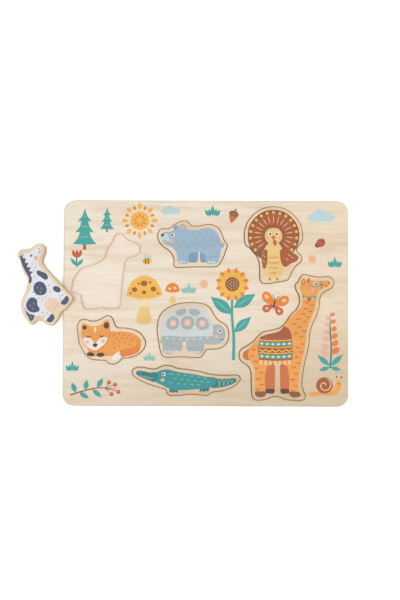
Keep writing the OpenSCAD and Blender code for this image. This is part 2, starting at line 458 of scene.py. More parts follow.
def brush(points, widths):
    """A brush line through the points, cut off square at its ends. widths is one width, or one for
    each point. A width of 0 is a pointed tip."""
    if not isinstance(widths, list):
        widths = [widths] * len(points)
    last = len(points) - 1
    left, right = [], []
    for i, (x, y) in enumerate(points):
        (ax, ay), (bx, by) = points[max(i - 1, 0)], points[min(i + 1, last)]
        reach = hypot(bx - ax, by - ay)
        nx, ny = (ay - by) / reach * widths[i] / 2, (bx - ax) / reach * widths[i] / 2
        kind = ("VECTOR",) if i in (0, last) else ()
        left.append((x + nx, y + ny, *kind))
        if widths[i] > 0:
            right.append((x - nx, y - ny, *kind))
    return left + right[::-1]


def leaf(base, tip, width, belly=0.45):
    """A leaf, pointed at both ends and widest at the share belly of its length."""
    (x1, y1), (x2, y2) = base, tip
    reach = hypot(x2 - x1, y2 - y1)
    nx, ny = (y1 - y2) / reach * width / 2, (x2 - x1) / reach * width / 2
    bx, by = x1 + (x2 - x1) * belly, y1 + (y2 - y1) * belly
    return [corner(x1, y1), (bx + nx, by + ny), corner(x2, y2), (bx - nx, by - ny)]


def petals(x, y, inner, outer, count, width, start=90, belly=0.55, sweep=360):
    """Leaves set round a point, from the radius inner to outer."""
    turns = [radians(start + sweep * k / count) for k in range(count)]
    return [
        leaf((x + inner * cos(a), y + inner * sin(a)), (x + outer * cos(a), y + outer * sin(a)), width, belly)
        for a in turns
    ]


def dots(places, r):
    return [oval(x, y, r) for x, y in places]


def dashes(places, dx, dy, width):
    """A short pointed dash at each place, from its middle by half of (dx, dy) both ways."""
    return [leaf((x - dx / 2, y - dy / 2), (x + dx / 2, y + dy / 2), width, 0.5) for x, y in places]


def curls(places, r, width, start=200, end=340):
    """A small open curl at each place."""
    return [brush(ring(x, y, r, start, end, 5), [0, width, width, width, 0]) for x, y in places]


def rounded_off(points):
    """The outline with each corner cut off at a share of its sides, so that it comes out round."""
    share = 0.24
    soft = []
    for i, (x, y) in enumerate(points):
        for nx, ny in (points[i - 1], points[(i + 1) % len(points)]):
            soft.append((x + (nx - x) * share, y + (ny - y) * share))
    return soft


def moved(outline, dx, dy, size=1, turn=0):
    """The outline made size times as large, turned by an angle in degrees, then moved."""
    c, s = cos(radians(turn)) * size, sin(radians(turn)) * size
    return [(x * c - y * s + dx, x * s + y * c + dy, *kind) for x, y, *kind in outline]


def mirrored(outline):
    """The outline mirrored left to right."""
    return [(-x, y, *kind) for x, y, *kind in outline]


def ink_film(outline, top):
    """A closed film of ink with this outline, from the wood up to the height top."""
    curve = bpy.data.curves.new("ink", "CURVE")
    curve.dimensions = "2D"
    curve.fill_mode = "BOTH"
    curve.resolution_u = INK_ROUNDNESS
    curve.extrude = top / 2
    spline = curve.splines.new("BEZIER")
    spline.bezier_points.add(len(outline) - 1)
    spline.use_cyclic_u = True
    for point, (x, y, *kind) in zip(spline.bezier_points, outline):
        point.co = (x, y, 0)
        point.handle_left_type = point.handle_right_type = kind[0] if kind else "AUTO"
    drawn = new_object("ink", curve)
    ready = drawn.evaluated_get(bpy.context.evaluated_depsgraph_get())
    mesh = bpy.data.meshes.new_from_object(ready)
    film = bmesh.new()
    film.from_mesh(mesh)
    bmesh.ops.remove_doubles(film, verts=film.verts, dist=MERGE_GAP)
    bmesh.ops.recalc_face_normals(film, faces=film.faces)
    bmesh.ops.translate(film, verts=film.verts, vec=(0, 0, top / 2))
    film.to_mesh(mesh)
    film.free()
    bpy.data.objects.remove(drawn)
    bpy.data.curves.remove(curve)
    return mesh


def print_picture(node, levels, place, body, ink_prefix, lay):
    """Prints a picture on a node. levels runs from the wood up, and each level is a list of
    (ink, outlines). Pictures with the same prefix share their inks."""
    used = list(dict.fromkeys(ink for level in levels for ink, _ in level))
    picture = bmesh.new()
    for height, level in enumerate(levels, 1):
        drawn = 0
        for ink, outlines in level:
            before = len(picture.faces)
            for outline in outlines:
                film = ink_film(outline, height * INK_STEP + drawn % OVERLAP_TURNS * OVERLAP_STEP)
                picture.from_mesh(film)
                bpy.data.meshes.remove(film)
                drawn += 1
            picture.faces.ensure_lookup_table()
            for face in picture.faces[before:]:
                face.material_index = used.index(ink)
                face.smooth = False
    bmesh.ops.transform(picture, matrix=place @ Matrix.Scale(MM, 4), verts=picture.verts)
    mesh = bpy.data.meshes.new(node + "_print")
    picture.to_mesh(mesh)
    picture.free()
    for ink in used:
        name = ink_prefix + ink
        mesh.materials.append(bpy.data.materials.get(name) or printed_ink(name, INKS[ink], lay))
    printed = new_object(node + "_print", mesh)
    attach(printed, body)


# Pictures of the pieces


def bear_picture():
    """A blue bear walking to the left."""
    body = [
        (-33, 7), (-32.3, 10.8), (-28.5, 12.6), (-22.5, 13.2), (-17.8, 16.2), (-12.6, 17.6), (-7.5, 16.4),
        (-2, 15), (6, 15.2), (14, 16.9), (21, 15.8), (26, 12), (28.6, 6.5), (30, 0), (30, -7), (28.6, -14),
        (27, -19.3), (25.4, -20.4), (15.6, -20.4), (14.3, -19), (13.8, -13.5), (11, -9.6), (4, -8.7),
        (-2.6, -9.6), (-4, -13.5), (-4.2, -19), (-5.6, -20.4), (-14.2, -20.4), (-15.8, -19), (-16.2, -12.5),
        (-18.2, -7.2), (-22.5, -2.8), (-28, -0.2), (-31.8, 2.8),
    ]
    far_fore_leg = [
        corner(-5.2, -5), corner(-5.2, -19), (-1.4, -19.4), (3.8, -19.4), (5.3, -17.8), (5.9, -12),
        corner(6, -5),
    ]
    far_hind_leg = [
        corner(16, -5), corner(16, -19), (12.6, -19.4), (9.6, -19.4), (8.2, -17.8), (7.9, -12),
        corner(7.8, -5),
    ]
    fur = [
        (1, 10.8), (8, 12), (15, 12.8), (22, 10), (4.5, 6), (12, 7.2), (19, 5.4), (25.4, 3.4), (-6, 9),
        (-9.4, 3.4), (-1.6, 1), (7, 0.6), (14.6, 1), (21.4, -2), (-4.4, -3.6), (3.6, -4.6), (11, -4.4),
        (24.6, -7), (18.6, -9.4), (-11, -3.4), (-9.4, -10), (24, -13.4), (-16, 3.6), (-14.4, -2), (19, -14.6),
    ]
    claws = [leaf((x, -20.3), (x + 0.3, -17.6), 1.5) for x in (-14, -11.3, -8.6, 17.4, 20.1, 22.8)]
    far_ear, tail = oval(-17.4, 16.8, 2.6), oval(31, -1.4, 2.2, 2.9, 20)
    smile = brush([(-31, 4.4), (-29.2, 3), (-26.8, 3)], [0, 0.7, 0])
    return [
        [("dusk", [far_fore_leg, far_hind_leg, far_ear]), ("sky", [tail])],
        [("sky", [body])],
        [
            ("sky", [oval(-10.2, 17.4, 3.5)]),
            ("ice", [oval(-28.6, 6.4, 4.3, 4.6, 10)]),
            ("dusk", dashes(fur, 2.9, -1, 0.85)),
            ("white", claws),
        ],
        [
            ("blush", [oval(-10.2, 17.6, 1.9), oval(-22.6, 3.2, 2.2, 1.9)]),
            ("white", [oval(-20.8, 9.4, 2.0)]),
            ("navy", [oval(-31.6, 9.4, 1.9, 1.5, 35), smile]),
        ],
        [("soot", [oval(-21.2, 9.4, 1.15)])],
    ]


def turkey_picture():
    """A turkey from the front with its tail fanned out."""
    fan_x, fan_y = 0, 9.9
    feathers = 17
    # The fan runs from this angle up over the top and down to the same angle on the other side
    lowest, highest = -38, 218
    sweep = (highest - lowest) * feathers / (feathers - 1)
    body = [
        (-3.5, 3), (-8.6, -2.5), (-11.8, -10), (-12, -20), (-10, -29), (-5.4, -34.4), (0, -35.6),
        (5.4, -34.4), (10, -29), (12.2, -20), (12, -10), (8.6, -2.5), (3.5, 3),
    ]
    right_wing = [
        (8, -4.4), (14.5, -5.6), (21.5, -8.8), (26.2, -13), (24.4, -16.6), (18, -19.6), (12, -23),
        (8.6, -19.5), (7, -12),
    ]
    left_wing = [(-8, -4.6), (-11.6, -11), (-12, -19), (-9.6, -25), (-7, -19.5), (-6.4, -11)]
    breast = [
        (-3.3, -11.6), (0, -12.2), (3.3, -11.6), (-4.8, -17), (-1.6, -17.6), (1.6, -17.6), (4.8, -17),
        (-3.3, -22.4), (0, -23), (3.3, -22.4), (-1.6, -28), (1.6, -28),
    ]
    tips = [oval(x, y, 1.6) for x, y in ring(fan_x, fan_y, 24.4, lowest, highest, feathers)]
    toes = [brush([(x, -33.6), (x + 1.1 * side, -37.2)], 0.9) for x in (-4, 4) for side in (-1, 0.01, 1)]
    crest = [leaf((x, 17), (x * 1.9, 21.4), 1.7) for x in (-1.9, 0.01, 1.9)]
    wing_marks = [(16, -10.4), (19.6, -13), (14.4, -15.2), (-9.6, -12), (-9.8, -17.4)]
    wattle = [(0.3, 5.6), (2.6, 4.4), (3.2, 1.2), (1.8, -0.8), (0.2, 1), (-0.4, 4)]
    beak = [corner(-2.7, 8.9), (0, 9.6), corner(2.7, 8.9), corner(0, 4.6)]
    return [
        [("chestnut", [oval(fan_x, fan_y, 27.2)]), ("burnt_orange", toes)],
        [("rust", petals(fan_x, fan_y, 8, 26.6, feathers, 6.5, start=lowest, belly=0.74, sweep=sweep))],
        [
            ("amber", tips),
            ("straw", petals(fan_x, fan_y, 12, 21.8, feathers, 0.9, start=lowest, sweep=sweep)),
        ],
        [("straw", [body])],
        [
            ("burnt_orange", curls(breast, 1.7, 0.75)),
            ("rust", [left_wing, right_wing]),
            ("straw", [oval(0, 9.6, 9.2, 8.8)]),
        ],
        [
            ("amber", dashes(wing_marks, 3.4, -2.4, 0.9)),
            ("white", [oval(-3.9, 11.6, 2.1), oval(3.9, 11.6, 2.1)]),
            ("blush", [oval(-6.4, 7.4, 1.6), oval(6.4, 7.4, 1.6)]),
            ("brick", [wattle]),
            ("rust", crest),
        ],
        [("soot", [oval(-3.6, 11.6, 1.15), oval(3.6, 11.6, 1.15)]), ("burnt_orange", [beak])],
    ]


def fox_picture():
    """A fox curled up asleep, its tail round its feet."""
    body = [
        (-8, 8.2), (4, 8.9), (14, 8.7), (22, 7.2), (28, 3.8), (31.6, -1.8), (30.6, -7.4), (26.2, -11.8),
        (19, -14.4), (8, -15.8), (-6, -17.2), (-16, -17.2), (-23, -14), (-24, -6),
    ]
    head = [
        (-31.2, 5.5), (-31.4, 12), (-30.5, 16.8), (-28.2, 17.2), (-22.8, 14.7), (-16.2, 14.5), (-10.6, 16.3),
        (-6.2, 20.4), (-3.6, 21), (-2.2, 16.4), (-1.9, 9), (-2.8, 2.6), (-5.8, -3.2), (-11, -8.6), (-17, -12),
        (-22.6, -9.8), (-27.6, -5.2), (-30.2, 0),
    ]
    left_cheek = [
        corner(-30.2, 1.2), (-24.6, 2.3), (-19.6, -0.8), corner(-17.1, -5.4), corner(-17.1, -11.3),
        (-22.3, -9.2), (-27, -4.8),
    ]
    right_cheek = [
        corner(-3.3, 2), (-9, 2.9), (-14.2, -0.6), corner(-16.7, -5.4), corner(-16.7, -11.3), (-11.2, -8),
        (-6, -2.8),
    ]
    tail_line = [(29.4, -2.4), (27.2, -8.6), (21, -12), (13.4, -13.4), (7, -16.6), (2.2, -21)]
    tail_tip = [
        corner(8.6, -11.6), (4.6, -14.2), (1.4, -17.8), corner(0.9, -21.8), (5.6, -20.8), corner(11.8, -18),
        corner(8.9, -16.9), corner(10.6, -15.7), corner(7.9, -14.5), corner(9.6, -13.3),
    ]
    fur = [
        (3, 5.4), (8.4, 6.2), (13.8, 6), (19.2, 4.8), (24, 2.4), (5.6, 1.4), (11, 2.2), (16.4, 1.6),
        (21.2, -0.6), (2.8, -3), (8.6, -2.2), (14.2, -3), (3.4, -8.4), (8.6, -7), (27.4, -0.8), (19.4, -5),
    ]
    ears = [[(-29.4, 14.8), (-29.3, 10.8), (-25.6, 12.8)], [(-4.2, 18.4), (-8.2, 15.2), (-4, 11.8)]]
    nose = [(-19.4, -4.6), (-16.9, -3.9), (-14.4, -4.6), (-15.2, -6.8), (-16.9, -7.6), (-18.6, -6.8)]
    closed_eyes = curls([(-23.8, 5.8), (-10, 6.1)], 2.7, 1)
    return [
        [("apricot", [body])],
        [
            ("orange", [brush(tail_line, [2.5, 6.5, 8, 8.2, 6.4, 0])]),
            ("burnt_orange", dashes(fur, -1.1, -3.4, 1.2)),
            ("bark", [oval(-21.5, -15.2, 4.2, 2.2, -8), oval(-11.2, -15.6, 4.2, 2.2, 4)]),
        ],
        [("orange", [moved(head, 0.6, -0.9)]), ("white", [tail_tip])],
        [("apricot", [head])],
        [
            ("white", [left_cheek, right_cheek]),
            ("bark", ears),
            ("cream", [leaf((-17, 14), (-17, 6.4), 2.4, 0.3)]),
        ],
        [
            ("soot", [nose] + closed_eyes),
            ("blush", [oval(-25.2, -2.2, 1.9, 1.6), oval(-8.4, -1.4, 1.9, 1.6)]),
        ],
    ]


def tortoise_picture():
    """A tortoise walking to the right under a high domed shell."""
    shell = [
        (-33.4, -6.4), (-33.4, 4), (-30.6, 13.4), (-25, 19.4), (-16.6, 23.2), (-5, 24.9), (6, 24.2),
        (12.6, 20.8), (17.4, 14), (20.4, 6), (21.2, -2.6), (19.6, -7.2), (8, -8.8), (-8, -9.4), (-24, -8.8),
    ]
    head = [
        (14, 2), (20, 5.2), (26, 6), (31, 3.8), (33.9, -1.2), (34, -6.6), (31.4, -11.6), (26, -14.6),
        (19.6, -15.2), (13, -14),
    ]
    fore_leg = [
        corner(2.4, -6), (2, -15), (1.8, -21.8), (3.2, -24.4), (9, -24.6), (11, -21.6), (12.4, -14),
        corner(13.6, -6),
    ]
    hind_leg = [
        corner(-31.6, -6), (-31.8, -15), (-31.4, -21.8), (-29.8, -24.4), (-21.4, -24.4), (-19.8, -21.8),
        (-19, -14), corner(-18.6, -6),
    ]
    far_fore_leg = [
        corner(-7.2, -6), (-7, -14), (-6.6, -20.2), (-5.4, -21.8), (0, -21.8), corner(4, -21),
        corner(4, -6),
    ]
    far_hind_leg = [
        corner(-21, -6), corner(-21, -21), (-16.2, -21.8), (-12.4, -21.8), (-11.2, -20.2),
        (-10.8, -14), corner(-10.6, -6),
    ]
    tail = leaf((-29.8, -8), (-34.4, -14.6), 4.2, 0.3)
    scutes = [
        [(-12.2, 3.4), (-12.6, 11.8), (-5.7, 15.8), (1.2, 11.8), (0.8, 3.4), (-5.7, -0.2)],
        [(-28.6, 3.2), (-26.4, 12), (-19.8, 15), (-14.8, 11.6), (-14.4, 3.4), (-21, -0.4)],
        [(3, 3.4), (3.4, 11.6), (9.6, 14.6), (15.4, 10.4), (17.4, 2.8), (10, -0.6)],
        [(-19.2, 17.4), (-12.9, 14), (-7, 17.6), (-7.6, 22.4), (-14.4, 21.6)],
        [(-4.4, 17.6), (1.6, 14), (8, 17), (5.6, 21.6), (-3.8, 22.4)],
    ]
    hearts = [(-5.7, 7.8, 3.8), (-20.9, 7.4, 3.7), (9.9, 7.2, 3.6)]
    hem = [(-33, -7.4), (-22, -8.8), (-8, -9.6), (8, -9), (20.2, -7.2)]
    hem_marks = [(-27, -8.4), (-20, -9), (-13, -9.4), (-6, -9.6), (1, -9.4), (8, -9), (15, -8)]
    toenails = [leaf((x, -24.3), (x + 0.2, -21.6), 1.9) for x in (-29, -25.7, -22.4, 4, 7)]
    flowers = [petal for x, y, r in hearts for petal in petals(x, y, 0.6, 0.8 * r, 6, 1.1)]
    return [
        [("slate", [far_fore_leg, far_hind_leg, tail])],
        [("slate", [head, hind_leg, fore_leg])],
        [("mist", [shell])],
        [
            ("slate", [rounded_off(scute) for scute in scutes] + [brush(hem, [2, 5, 5.2, 5, 2])]),
            ("white", toenails + [oval(27.8, -0.6, 2.1)]),
            ("blush", [oval(24.6, -6.4, 2.5, 2.1)]),
            ("navy", [brush([(33.4, -8.2), (30.6, -10), (27.4, -9.8)], [0, 0.8, 0])]),
        ],
        [
            ("blush", [oval(x, y, r) for x, y, r in hearts]),
            ("mist", [oval(x, y, 1.4, 0.9) for x, y in hem_marks]),
            ("soot", [oval(28.1, -0.6, 1.2)]),
        ],
        [("white", flowers)],
    ]


def platypus_picture():
    """A platypus swimming to the left, its flat tail behind it."""
    body = [
        (-33.4, 5.4), (-31.4, 8.4), (-26, 10.8), (-19.4, 11.7), (-13, 10.2), (-4, 8.4), (8, 6.8), (20, 4.4),
        (29, 2.6), (31.6, -1), (29, -5), (22, -7.4), (8, -9.2), (-8, -10), (-18, -8.4), (-25.4, -4.6),
        (-31.8, -1.2),
    ]
    bill = [
        (-52.6, 8.4), (-50.2, 10), (-44, 9.6), (-37.4, 8.4), (-31.8, 8.6), (-30, 4), (-31.8, -1),
        (-39.6, 0.6), (-46.2, 3.2), (-51.2, 5.8),
    ]
    tail = [(25, 3), (34, 2), (45, 2.2), (51.6, 2.4), (53, 0.4), (50, -2.6), (44, -5), (35, -7), (25, -6)]
    fore_foot = [
        corner(-9, -6), (-8.4, -10.4), (-9.4, -12.8), (-11.6, -11.7), (-13.2, -13), (-15, -11.8),
        (-17.2, -12.4), (-17.4, -9.8), corner(-16, -6),
    ]
    hind_foot = [
        corner(25, -4), (24.4, -8.4), (22.8, -11.4), (20.4, -10.6), (18.6, -12.2), (16.8, -10.8),
        (14.4, -11.6), (14.2, -9), corner(16, -4),
    ]
    # The tail's lattice: the upper and lower end of each line, leaning both ways
    lattice = [
        ((33, 1.2), (36, -5.6)), ((37.6, 1.1), (40.2, -4.7)), ((42, 1.1), (44.4, -3.6)),
        ((46.2, 1.2), (48.4, -2)), ((37, 1.1), (33.8, -5.6)), ((41.4, 1.1), (38.6, -4.9)),
        ((45.6, 1.2), (43, -4)), ((49.4, 1.2), (47, -2.4)),
    ]
    ripples = [
        (-8, 4.6), (-1, 4), (6, 3), (13, 2), (20, 0.8), (-11.6, 0.4), (-4.6, -0.2), (2.4, -0.8), (9.4, -1.6),
        (16.4, -2.6), (23.4, -3.2), (-8, -5), (-1, -5.4), (6, -5.6), (-15.6, 5.4), (-16, -4), (13, -6),
    ]
    lip = brush([(-50.4, 5.9), (-44, 4.1), (-37, 2.6), (-32, 2.6)], [0, 0.8, 0.9, 0])
    return [
        [("deep_teal", [fore_foot, hind_foot, tail])],
        [("sea", [body]), ("mint", [brush([high, low], 0.6) for high, low in lattice])],
        [("deep_teal", [bill]), ("mint", curls(ripples, 2, 0.75, 20, 160))],
        [
            ("white", [oval(-23.6, 6.6, 2.0)]),
            ("blush", [oval(-24.8, 0.6, 2.0, 1.6)]),
            ("mint", [oval(-48.6, 7.9, 0.8, 0.5), lip]),
        ],
        [("soot", [oval(-24, 6.6, 1.15)])],
    ]


def llama_picture():
    """A llama to the right under a striped saddle blanket."""
    body = [
        (14.2, 49.6), (14.4, 54.4), (17.4, 58.2), (23, 60), (31, 59.2), (38, 59.6), (43.4, 59.8), (46, 57.4),
        (44.4, 54.4), (38.6, 52), (33.2, 48.2), (31, 42.6), (30.6, 35), (28.2, 25.8), (24, 15.6), (21, 5),
        (19.8, -6), (17.8, -17), (15.4, -27), (13.4, -38), (12.4, -49), (13, -56), (14.6, -60.4), (12.8, -62),
        (5.4, -62), (3.6, -60.2), (2.8, -49), (2, -36), (-0.8, -29.4), (-9, -27.4), (-18, -28.6),
        (-21.6, -34), (-22.6, -47), (-22.2, -58), (-23.4, -61.6), (-31, -61.8), (-32.6, -59.6), (-33, -48),
        (-33.6, -35), (-36.4, -27.6), (-40, -21), (-39.6, -13), (-33.4, -5), (-26.6, 0.6), (-16, 3.8),
        (-8, 6), (-2.6, 11.6), (3, 20), (10, 26.8), (15.4, 33), (16.8, 38), (16.4, 44.6),
    ]
    tail = [(-36, -12), (-41.4, -13), (-45.6, -17), (-45.4, -21.6), (-41, -24.2), (-36, -22)]
    far_fore_leg = [
        corner(-7, -24), (-6.8, -44), (-6.2, -56), (-5, -58.6), (0, -58.6), corner(5, -58.6), corner(5, -24),
    ]
    far_hind_leg = [
        corner(-24, -24), corner(-24, -58.6), (-19, -58.6), (-14, -58.6), (-12.8, -56), (-12.2, -44),
        corner(-12, -24),
    ]
    far_hooves = [
        [
            (-6.3, -54.6), (-1, -54), corner(5, -54.4), corner(5, -58.6), (0, -58.8), (-5.2, -58.8),
            (-6.4, -57),
        ],
        [
            corner(-24, -54.4), (-18, -54), (-12.7, -54.6), (-12.6, -57), (-13.8, -58.8), (-19, -58.8),
            corner(-24, -58.6),
        ],
    ]
    hooves = [
        [(2.9, -57.6), (8, -57), (13.2, -57.6), (14.7, -60.6), (12.8, -62.2), (5.2, -62.2), (3.3, -60.4)],
        [
            (-32.9, -57.4), (-27.6, -56.8), (-22.1, -57.4), (-21.9, -60.4), (-23.4, -62), (-31, -62),
            (-32.8, -60.2),
        ],
    ]
    wool = [
        (21.8, 38.6), (26.4, 35.8), (20.4, 32.4), (25, 29.6), (17.6, 26.6), (22.4, 23.6), (12.4, 21.4),
        (18.8, 18.6), (7.6, 16), (13.8, 12.6), (18.6, 8.4), (9.6, 6.4), (15.4, 2.6), (17, -4.6), (11.6, -8.6),
        (15.2, -13.2), (-34.6, -11), (-36, -17.6), (-32.6, -23.4), (-31.4, -30.4), (-26.4, -35),
        (-29.4, -41.4), (-26, -47.4), (-29.8, -52.6), (10.6, -18.6), (12.6, -25), (7.4, -29.4), (9.8, -36),
        (6.4, -42), (9.2, -48.6), (6.8, -54),
    ]
    # The blanket's left and right edge, and the line at which it hangs lowest
    left, right, middle = -29, 6, -11.5

    def hang(x):
        """How far the weave sags at x."""
        return ((x - middle) / (right - middle)) ** 2 - 1

    def band(low, high):
        """A band woven across the blanket."""
        return [
            corner(left, low), (middle, low - 1), corner(right, low), corner(right, high), (middle, high - 1),
            corner(left, high),
        ]

    blanket = [
        corner(-27.6, 0.4), (-20, 3.2), (-12, 5), (-6.6, 7.4), corner(-2.8, 12), (2.4, 8.6), (5.4, 0),
        (6.4, -12), corner(6.2, -23.6), (middle, -24.6), corner(-29, -23.6), (-29.8, -12),
    ]
    steps = [left + 3.5 * k for k in range(11)]
    crest = [corner(x, -11.5 + hang(x) - 2.2 * (k % 2)) for k, x in enumerate(steps)]
    zigzag = crest + [corner(x, y - 1.5) for x, y, _ in crest[::-1]]
    diamonds = [
        [corner(x - 1.9, y), corner(x, y + 1.4), corner(x + 1.9, y), corner(x, y - 1.4)]
        for x in (-26, -20.2, -14.4, -8.6, -2.8, 3)
        for y in (-19.6 + hang(x), -6.3 + hang(x))
    ]
    tassels = [
        brush([(x, -23.6 + hang(x)), (x, -28 + hang(x))], [0.9, 2.2]) for x in (-27, -22, -17, -12, -7, -2, 3)
    ]
    halter = [
        brush([(36, 59.4), (37, 55.6), (36.4, 51)], 1.3),
        brush([(37, 55.6), (30, 53.4), (24, 54.6)], 1),
    ]
    collar = brush([(16.4, 43.6), (23, 41.8), (31.2, 42.8)], 2)
    ears = [leaf((16.6, 55), (18.4, 62.6), 4.2, 0.4), leaf((21.8, 57), (24, 62.8), 3.6, 0.4)]
    nostril = oval(44, 57.4, 0.9, 0.7)
    smile = brush([(43.6, 54.4), (41, 54), (39.2, 54.6)], [0, 0.7, 0])
    return [
        [("burnt_orange", [tail, far_fore_leg, far_hind_leg])],
        [("bark", far_hooves)],
        [("apricot", [body])],
        [("rust", [blanket]), ("burnt_orange", curls(wool, 2.4, 1.3)), ("chestnut", hooves)],
        [
            ("teal", [band(-21.6, -17.6), band(-8.3, -4.3)]),
            ("amber", [band(-16.6, -15.5), band(-10.4, -9.3), band(-3.2, -2.1), zigzag]),
            ("cream", tassels),
        ],
        [
            ("cream", diamonds),
            ("burnt_orange", ears),
            ("white", [oval(30.4, 55.8, 2.1)]),
            ("blush", [oval(27.4, 49.8, 2.2, 1.8)]),
            ("teal", halter + [collar]),
            ("chestnut", [nostril, smile]),
        ],
        [
            ("soot", [oval(30.7, 55.8, 1.2)]),
            ("blush", [leaf((17.1, 56.4), (18.2, 61), 1.8, 0.4)]),
            ("amber", [oval(19.8, 41, 1.6), oval(27.4, 40.4, 1.6)]),
            ("brick", [oval(23.6, 39.7, 1.8), oval(36.8, 55.4, 1.4)]),
        ],
    ]


def pony_picture():
    """A white pony with dark patches, standing to the right."""
    body = [
        (14.6, 36), (17.2, 33.6), (20.4, 30), (26, 28.2), (31.4, 26.2), (32.8, 23.2), (30.6, 20.2),
        (24.6, 18), (19.6, 15.6), (16.4, 9), (15.4, 0), (14.4, -12), (13.2, -24), (12.6, -33), (11, -35.6),
        (4, -35.6), (2.6, -33.4), (2, -24), (0, -18.8), (-6, -17.6), (-10.8, -18.6), (-12.4, -24), (-12, -33),
        (-13.6, -36), (-19.6, -36), (-21.2, -33), (-22, -24), (-25, -18.4), (-28, -11), (-26, -3.4),
        (-21, 0.4), (-12, 2.2), (-4, 5.8), (1, 11), (3.6, 18), (6, 24.4), (9.6, 30.4), (11.8, 34.6),
    ]
    tail = [(-24, -3), (-29, -8), (-31.4, -14), (-32.8, -18.6), (-29.4, -19.6), (-26, -17.6), (-23, -11)]
    mane = [
        (12.4, 35), (8.6, 31.4), (5.2, 25.6), (2.8, 19.2), (0.4, 12.6), (-3.4, 8.2), (1.4, 9.2), (4.4, 13.6),
        (7.4, 13.4), (6, 17.4), (9.4, 18.2), (7.8, 21.8), (11.4, 23.4), (9.8, 26.4), (13, 28), (12, 31.2),
    ]
    patches = [
        [
            (-25, -5.4), (-20, -2.4), (-13.4, -3.2), (-11.8, -9), (-15.4, -13.4), (-17.6, -18.4),
            (-22.4, -16.8), (-26, -11),
        ],
        [(-4.8, 1.6), (1.8, 3.2), (6.2, -1.4), (5, -8.4), (0.2, -12), (-5, -9.6), (-7.6, -4)],
        [(11, 10.4), (14.4, 6), (14.6, -2.4), (11.6, -3.6), (9.4, 3)],
        [(9.4, -14.4), (12.8, -16), (12.4, -22.8), (8.8, -21.4)],
    ]
    hooves = [
        [(2.5, -31.6), (7.6, -31), (12.6, -31.6), (12.4, -34), (11, -35.8), (4, -35.8), (2.8, -34)],
        [
            (-21.3, -31.8), (-16.6, -31.2), (-12, -31.8), (-12.2, -34.4), (-13.6, -36.2), (-19.6, -36.2),
            (-21, -34),
        ],
    ]
    specks = [
        (-8.6, -5), (-9.6, -9.4), (-7.8, -13.6), (-3.6, -14.6), (8.6, 6.2), (5.4, 8.6), (8.4, -9),
        (4.6, -15.4), (7.6, -25.4), (10.4, -27.4), (5.2, -28.2), (-17.6, -22.6), (-19.6, -26.4),
        (-15.2, -27.4), (-8.4, -0.6), (9.8, 13.4), (13.4, 14.4),
    ]
    patch_marks = [(-20.6, -7.6), (-16.6, -9.4), (-21.4, -12), (-1.4, -1.4), (0.8, -5.4), (-3.2, -7)]
    smile = brush([(30.8, 21.4), (28.2, 21.2), (26.4, 22)], [0, 0.7, 0])
    ear, inner_ear = leaf((13.2, 31.6), (15, 36.4), 3, 0.4), leaf((13.8, 32.6), (14.8, 35.4), 1.2, 0.4)
    hairs = dashes(patch_marks, -1, -2.6, 0.8) + dashes([(-28, -12.6), (-29.6, -16)], -1, -3, 0.9)
    return [
        [("navy", [tail])],
        [("frost", [body])],
        [("navy", [mane] + patches + hooves), ("slate", dots(specks, 0.75))],
        [
            ("slate", [ear] + hairs),
            ("blush", [oval(21.2, 20.6, 2.3, 1.9)]),
            ("soot", [oval(19.6, 26, 1.25), oval(30.4, 24.2, 0.8, 0.6), smile]),
        ],
        [("frost", [oval(20.1, 26.5, 0.35)]), ("blush", [inner_ear])],
    ]


# Picture of the board. Each motif is drawn round its own origin, as a list of
# (level, ink, outlines).


def fir(width, height):
    """A fir tree of three tiers, from its foot."""
    right = []
    # Half width and height of each tier's tip, of the bend of its bough, and of the notch under it
    for tip, bend, notch in (
        ((0.3, 0.62), (0.1, 0.8), (0.14, 0.64)),
        ((0.41, 0.32), (0.21, 0.48), (0.2, 0.34)),
        ((0.5, 0), (0.29, 0.17), (0, -0.02)),
    ):
        right.append((bend[0] * width, bend[1] * height))
        right.append(corner(tip[0] * width, tip[1] * height))
        right.append(corner(notch[0] * width, notch[1] * height))
    # Half width and height of the line across each tier
    lines = [(reach * width, high * height) for reach, high in ((0.12, 0.78), (0.2, 0.5), (0.27, 0.2))]
    needles = [brush([(-reach, y - 1.4), (0, y), (reach, y - 1.4)], [0, 0.9, 0]) for reach, y in lines]
    return [
        (1, "rust", [brush([(0, -0.16 * height), (0, 2)], 0.12 * width)]),
        (2, "teal", [[corner(0, height)] + right + mirrored(right[-2::-1])]),
        (3, "mint", needles),
    ]


def sun():
    return [
        (1, "amber", petals(0, 0, 11.4, 19.6, 8, 4.6)),
        (1, "orange", petals(0, 0, 11.6, 17, 8, 3, start=112.5)),
        (2, "amber", [oval(0, 0, 10)]),
        (3, "orange", petals(0, 0, 2.4, 7.4, 9, 2)),
    ]


def cloud():
    puffs = [
        (-10, -3.4), (-11, 0), (-7.6, 2.2), (-4.4, 5.2), (0, 5.8), (3.6, 3.4), (8, 3), (10.6, 0), (9.4, -3.2),
        (0, -3.8),
    ]
    return [(1, "ice", [puffs])]


def toadstool(cap_ink, spot_ink, spots):
    """A toadstool from the middle of its cap's underside. spots holds what oval takes for each."""
    cap = [
        corner(-18.4, 0), (-16.6, 8.4), (-10, 17), (0, 20.8), (10, 17.4), (17, 8.4), corner(19, 0),
        (10, -2.6), (0, -3.4), (-10, -2.6),
    ]
    stem = [(-4.4, 0), (4.4, 0), (5.2, -14), (7, -28), (0, -30.6), (-7, -28), (-5, -14)]
    skirt = [
        corner(-4.6, -4), corner(4.6, -4), (6.6, -8.4), corner(8.4, -13), corner(4.4, -11.4),
        corner(1.6, -13.6), corner(-1.6, -11.6), corner(-4.6, -13.6), corner(-8.2, -12.4), (-6.4, -8.4),
    ]
    return [
        (1, "straw", [stem]),
        (2, "cream", [skirt]),
        (2, cap_ink, [cap]),
        (3, spot_ink, [oval(*spot) for spot in spots]),
    ]


